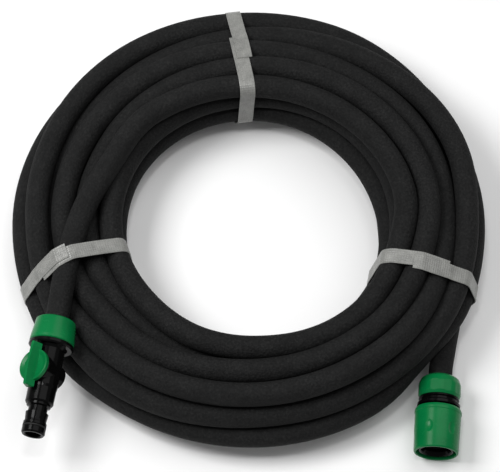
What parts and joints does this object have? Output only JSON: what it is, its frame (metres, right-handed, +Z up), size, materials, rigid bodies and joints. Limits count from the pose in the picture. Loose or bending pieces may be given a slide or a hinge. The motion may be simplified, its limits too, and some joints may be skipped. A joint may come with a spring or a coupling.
{
  "type": "soaker hose",
  "caption": "Coiled porous watering hose tied with three bands, a shut-off valve with a plug-in nose on one end and a quick-release socket on the other.",
  "frame": {"origin": "under the middle of the whole part, on the surface it lies on", "axes": "+Z up along the coil's axis; -Y is the side that both hose ends point to; +X is towards the quick connector"},
  "size_m": [0.342, 0.3455, 0.0667],
  "materials": {
    "porous_hose": "matt recycled rubber with a fine open grain",
    "strapping": "milky embossed polypropylene",
    "green_plastic": "satin moulded plastic",
    "black_plastic": "glossy moulded plastic",
    "seat_plastic": "smooth white acetal",
    "spring_steel": "drawn stainless wire",
    "seal_rubber": "smooth seal rubber"
  },
  "bodies": {
    "root": {"hose_coil": "porous_hose", "hose_valve_end": "porous_hose", "hose_connector_end": "porous_hose", "strap_rear": "strapping", "strap_left": "strapping", "strap_right": "strapping", "connector_body": "black_plastic", "connector_mouth_ring": "black_plastic", "connector_spring": "spring_steel", "valve_body": "black_plastic", "valve_spigot": "black_plastic", "spigot_oring": "seal_rubber", "valve_seat_rear": "seat_plastic", "valve_seat_front": "seat_plastic"},
    "valve_handle": {"valve_handle": "green_plastic", "valve_stem": "black_plastic", "valve_stem_seal": "seal_rubber", "valve_ball": "seat_plastic"},
    "valve_gripper": {"valve_gripper": "black_plastic"},
    "valve_nut": {"valve_nut": "green_plastic"},
    "connector_gripper": {"connector_gripper": "black_plastic"},
    "connector_nut": {"connector_nut": "green_plastic"},
    "release_sleeve": {"connector_sleeve": "green_plastic"},
    "latch_1": {"connector_latch_1": "black_plastic"},
    "latch_2": {"connector_latch_2": "black_plastic"},
    "latch_3": {"connector_latch_3": "black_plastic"}
  },
  "joints": [
    {"name": "valve_handle_turn", "type": "hinge", "parent": "root", "child": "valve_handle", "pos_m": [-0.14237, -0.12234, 0.048], "axis": [-0.5237, 0.0811, 0.848], "range_deg": [0, 90]},
    {"name": "valve_nut_travel", "type": "slide", "parent": "root", "child": "valve_gripper", "axis": [0.153, 0.9882, 0], "range_m": [0, 0.006]},
    {"name": "valve_nut_turn", "type": "hinge", "parent": "valve_gripper", "child": "valve_nut", "pos_m": [-0.1364, -0.0838, 0.048], "axis": [0.153, 0.9882, 0], "range_deg": [0, 720]},
    {"name": "connector_nut_travel", "type": "slide", "parent": "root", "child": "connector_gripper", "axis": [0.0924, 0.9957, 0], "range_m": [0, 0.006]},
    {"name": "connector_nut_turn", "type": "hinge", "parent": "connector_gripper", "child": "connector_nut", "pos_m": [0.137, -0.115, 0.0168], "axis": [0.0924, 0.9957, 0], "range_deg": [0, 720]},
    {"name": "sleeve_release", "type": "slide", "parent": "root", "child": "release_sleeve", "axis": [0.0924, 0.9957, 0], "range_m": [0, 0.004], "stiffness_N_per_m": 2000, "springref_m": -0.002, "deforming": ["connector_spring"]},
    {"name": "latch_1_open", "type": "slide", "parent": "root", "child": "latch_1", "axis": [0, 0, 1], "range_m": [0, 0.00145]},
    {"name": "latch_2_open", "type": "slide", "parent": "root", "child": "latch_2", "axis": [-0.8623, 0.08, -0.5], "range_m": [0, 0.00145]},
    {"name": "latch_3_open", "type": "slide", "parent": "root", "child": "latch_3", "axis": [0.8623, -0.08, -0.5], "range_m": [0, 0.00145]}
  ],
  "couplings": [
    {"joint": "valve_nut_travel", "follows": "valve_nut_turn", "m_per_rad": 0.00047746},
    {"joint": "connector_nut_travel", "follows": "connector_nut_turn", "m_per_rad": 0.00047746},
    {"joint": "latch_1_open", "follows": "sleeve_release", "ratio": 0.35},
    {"joint": "latch_2_open", "follows": "sleeve_release", "ratio": 0.35},
    {"joint": "latch_3_open", "follows": "sleeve_release", "ratio": 0.35}
  ]
}
